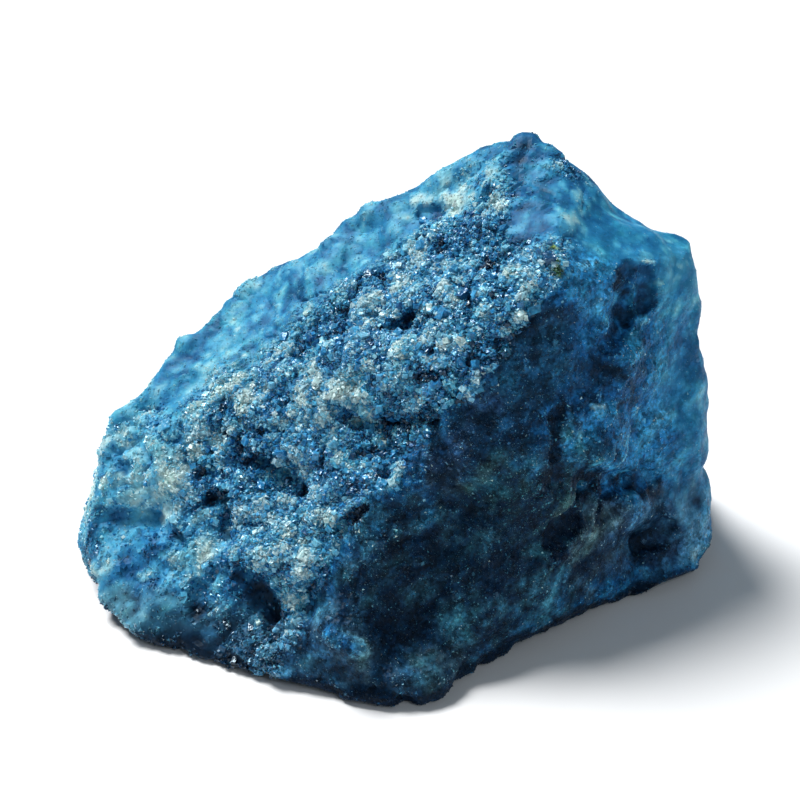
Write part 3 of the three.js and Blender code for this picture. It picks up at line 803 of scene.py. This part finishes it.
def make_grains(kind, shape, lump_places, lump_normals, rng):
    """The grains of one kind, in pieces from the deepest blue to the palest, and the worn ones."""
    amount = kind["amount"]
    corners, faces = shape
    sugar, calm = sugar_and_calm(lump_places)
    wanted = grain_demand(kind, lump_places, lump_normals, sugar, calm)
    pick = rng.choice(len(lump_places), amount, p=wanted / wanted.sum())
    normals, crowd = lump_normals[pick], wanted[pick]
    sugar, calm = sugar[pick], calm[pick]
    standing = sugar * (1 - calm)
    upright = smooth_step(standing, 0.1, 0.8)
    shift = rng.normal(0, GRAIN_SCATTER, (amount, 3))
    out = np.einsum("ij,ij->i", shift, normals) * (1 - 0.6 * upright)
    places = lump_places[pick] + shift - out[:, None] * normals
    lone, crowd_loss = CROWD_SIZE
    sizes = kind["size"] * np.exp(rng.normal(0, kind["size_spread"], amount))
    sizes *= lone - crowd_loss * crowd
    least, *grown = RIDGE_SIZE
    sizes *= (least + (1 - least) * smooth_step(sugar, *grown)) * (1 - CALM_SIZE_LOSS * calm)
    sink = kind["sunk_worn"] + (kind["sunk_standing"] - kind["sunk_worn"]) * upright
    sink -= rng.normal(0, 1, amount) * (0.04 + 0.10 * upright)
    tones = grain_tones(kind, places, normals, sugar, calm, rng)
    jitter = rng.normal(0, CORNER_SCATTER, (amount, len(corners), 3))
    stretch = rng.uniform(*STRETCH, (amount, 1, 3))
    local = (corners + jitter) * stretch * sizes[:, None, None]
    axes = turned_frames(normals, 0.12 + 0.30 * standing, rng)
    solids = np.einsum("nvk,nkj->nvj", local, axes)
    solids += (places - normals * (sink * sizes)[:, None])[:, None]
    bright = standing > STANDING_LIMIT
    parts = (bright, ~bright & (sugar > 0.5), ~bright & (sugar <= 0.5))
    for part, names in zip(parts, PIECES[kind["name"]]):
        members = np.flatnonzero(part)
        groups = np.array_split(members[np.argsort(tones[members])], len(names))
        for name, group in zip(names, groups):
            colours = colours_at(tones[group], places[group], sugar[group], calm[group])
            full_name = "grains_" + kind["name"] + "_" + name
            mesh = grain_mesh(full_name, solids[group], faces, colours, 1 - calm[group])
            yield new_piece(full_name, mesh)


def node(tree, kind, **settings):
    """A new shader node of this kind, with these settings."""
    made = tree.nodes.new(kind)
    for name, value in settings.items():
        setattr(made, name, value)
    return made


def ranged(tree, spread, low=0, high=1):
    """A node that turns low to high into 1 less the spread to 1 more."""
    made = node(tree, "ShaderNodeMapRange")
    made.inputs["From Min"].default_value = low
    made.inputs["From Max"].default_value = high
    made.inputs["To Min"].default_value = 1 - spread
    made.inputs["To Max"].default_value = 1 + spread
    return made


def salt_material(name, roughness, gloss, sparkle, facet, depth, specks, mosaic):
    """Salt: its stored tint, broken up by fine specks and crystals, with tiny glinting facets."""
    material = bpy.data.materials.new(name)
    material.use_nodes = True
    tree = material.node_tree
    shader = tree.nodes["Principled BSDF"]
    shader.inputs["IOR"].default_value = SALT_IOR
    shader.inputs["Roughness"].default_value = roughness
    shader.inputs["Specular IOR Level"].default_value = gloss
    shader.inputs["Specular Tint"].default_value = SALT_REFLECTION
    shader.inputs["Subsurface Weight"].default_value = LIGHT_CARRIED
    shader.inputs["Subsurface Radius"].default_value = (1, 1, 1)
    shader.inputs["Subsurface Scale"].default_value = depth * MM
    place = node(tree, "ShaderNodeTexCoord")
    tint = node(tree, "ShaderNodeAttribute", attribute_name="tint")
    speck = node(tree, "ShaderNodeTexNoise")
    speck.inputs["Scale"].default_value = 1 / (SPECK_SIZE * MM)
    speck.inputs["Detail"].default_value = 3
    spread = ranged(tree, specks, 0.3, 0.7)
    crystals = node(tree, "ShaderNodeTexVoronoi")
    crystals.inputs["Scale"].default_value = 1 / (CRYSTAL_SIZE * MM)
    bend = node(tree, "ShaderNodeVectorMath", operation="MULTIPLY_ADD")
    bend.inputs[1].default_value = (CRYSTAL_BEND * MM,) * 3
    lightness = node(tree, "ShaderNodeSeparateColor")
    patch = ranged(tree, mosaic)
    both = node(tree, "ShaderNodeMath", operation="MULTIPLY")
    mottled = node(tree, "ShaderNodeMix", data_type="FLOAT")
    mottled.inputs["A"].default_value = 1
    mix = node(tree, "ShaderNodeMix", data_type="RGBA", blend_type="MULTIPLY")
    mix.inputs["Factor"].default_value = 1
    cells = node(tree, "ShaderNodeTexVoronoi")
    cells.inputs["Scale"].default_value = 1 / (facet * MM)
    lean = node(tree, "ShaderNodeVectorMath", operation="MULTIPLY_ADD")
    lean.inputs[1].default_value = (sparkle,) * 3
    lean.inputs[2].default_value = (-sparkle / 2,) * 3
    eased = node(tree, "ShaderNodeVectorMath", operation="SCALE")
    surface = node(tree, "ShaderNodeNewGeometry")
    leant = node(tree, "ShaderNodeVectorMath", operation="ADD")
    unit = node(tree, "ShaderNodeVectorMath", operation="NORMALIZE")
    link = tree.links.new
    link(place.outputs["Object"], speck.inputs["Vector"])
    link(speck.outputs["Fac"], spread.inputs["Value"])
    link(tint.outputs["Color"], mix.inputs["A"])
    link(speck.outputs["Color"], bend.inputs[0])
    link(place.outputs["Object"], bend.inputs[2])
    link(bend.outputs["Vector"], crystals.inputs["Vector"])
    link(crystals.outputs["Color"], lightness.inputs["Color"])
    link(lightness.outputs["Red"], patch.inputs["Value"])
    link(spread.outputs["Result"], both.inputs[0])
    link(patch.outputs["Result"], both.inputs[1])
    link(both.outputs["Value"], mottled.inputs["B"])
    link(tint.outputs["Alpha"], mottled.inputs["Factor"])
    link(mottled.outputs["Result"], mix.inputs["B"])
    link(mix.outputs["Result"], shader.inputs["Base Color"])
    link(place.outputs["Object"], cells.inputs["Vector"])
    link(cells.outputs["Color"], lean.inputs[0])
    link(lean.outputs["Vector"], eased.inputs[0])
    link(tint.outputs["Alpha"], eased.inputs["Scale"])
    link(eased.outputs["Vector"], leant.inputs[0])
    link(surface.outputs["Normal"], leant.inputs[1])
    link(leant.outputs["Vector"], unit.inputs[0])
    link(unit.outputs["Vector"], shader.inputs["Normal"])
    return material


def make_stage():
    """A plain pale floor, soft light from the far left, a weak fill and a pale studio round it."""
    floor_mesh = bpy.data.meshes.new("floor")
    shape = bmesh.new()
    bmesh.ops.create_grid(shape, x_segments=1, y_segments=1, size=FLOOR_SIZE)
    bmesh.ops.translate(shape, verts=shape.verts, vec=(0, 0, -FLOOR_GAP * MM))
    shape.to_mesh(floor_mesh)
    shape.free()
    floor = bpy.data.objects.new("floor", floor_mesh)
    bpy.context.scene.collection.objects.link(floor)
    paint = bpy.data.materials.new("pale_floor")
    paint.use_nodes = True
    shader = paint.node_tree.nodes["Principled BSDF"]
    shader.inputs["Base Color"].default_value = FLOOR_COLOUR
    shader.inputs["Roughness"].default_value = FLOOR_ROUGHNESS
    floor_mesh.materials.append(paint)
    world = bpy.data.worlds.new("studio")
    bpy.context.scene.world = world
    world.use_nodes = True
    world.node_tree.nodes["Background"].inputs["Color"].default_value = STUDIO_COLOUR
    world.node_tree.nodes["Background"].inputs["Strength"].default_value = STUDIO_STRENGTH
    for name, power, spread, bearing, height, colour in LIGHTS:
        light = bpy.data.lights.new(name, "SUN")
        light.energy = power
        light.angle = math.radians(spread)
        light.color = colour
        lamp = bpy.data.objects.new(name, light)
        bpy.context.scene.collection.objects.link(lamp)
        turn, rise = math.radians(bearing), math.radians(height)
        out = (math.cos(turn) * math.cos(rise), math.sin(turn) * math.cos(rise), math.sin(rise))
        lamp.rotation_euler = Vector(out).to_track_quat("Z", "Y").to_euler()


def make_camera():
    """The photograph's view of the lump."""
    camera_data = bpy.data.cameras.new("camera")
    camera_data.lens = LENS
    camera_data.sensor_width = SENSOR
    camera_data.clip_start, camera_data.clip_end = CLIP
    camera = bpy.data.objects.new("camera", camera_data)
    bpy.context.scene.collection.objects.link(camera)
    elevation = math.radians(VIEW_HEIGHT)
    back = Vector((0, -math.cos(elevation), math.sin(elevation)))
    camera.location = Vector(VIEW_CENTRE) * MM + back * VIEW_DISTANCE * MM
    camera.rotation_euler = (-back).to_track_quat("-Z", "Y").to_euler()
    bpy.context.scene.camera = camera


lump, lump_places, lump_normals = make_lump()
salts = {name: salt_material(name, **finish) for name, finish in FINISHES.items()}
lump.data.materials.append(salts["salt_between_grains"])
lump.data.materials.append(salts["worn_salt"])
rng = np.random.default_rng(SEED + GRAINS_DRAW)
for kind, shape in ((SMALL_GRAINS, cube_corner()), (LARGE_GRAINS, whole_cube())):
    for grains in make_grains(kind, shape, lump_places, lump_normals, rng):
        finish = "bright_salt_grain"
        if "fused" in grains.name:
            finish = "fused_salt_grain"
        if "worn" in grains.name:
            finish = "worn_salt_grain"
        grains.data.materials.append(salts[finish])
make_stage()
make_camera()
bpy.context.scene.view_settings.view_transform = "Standard"
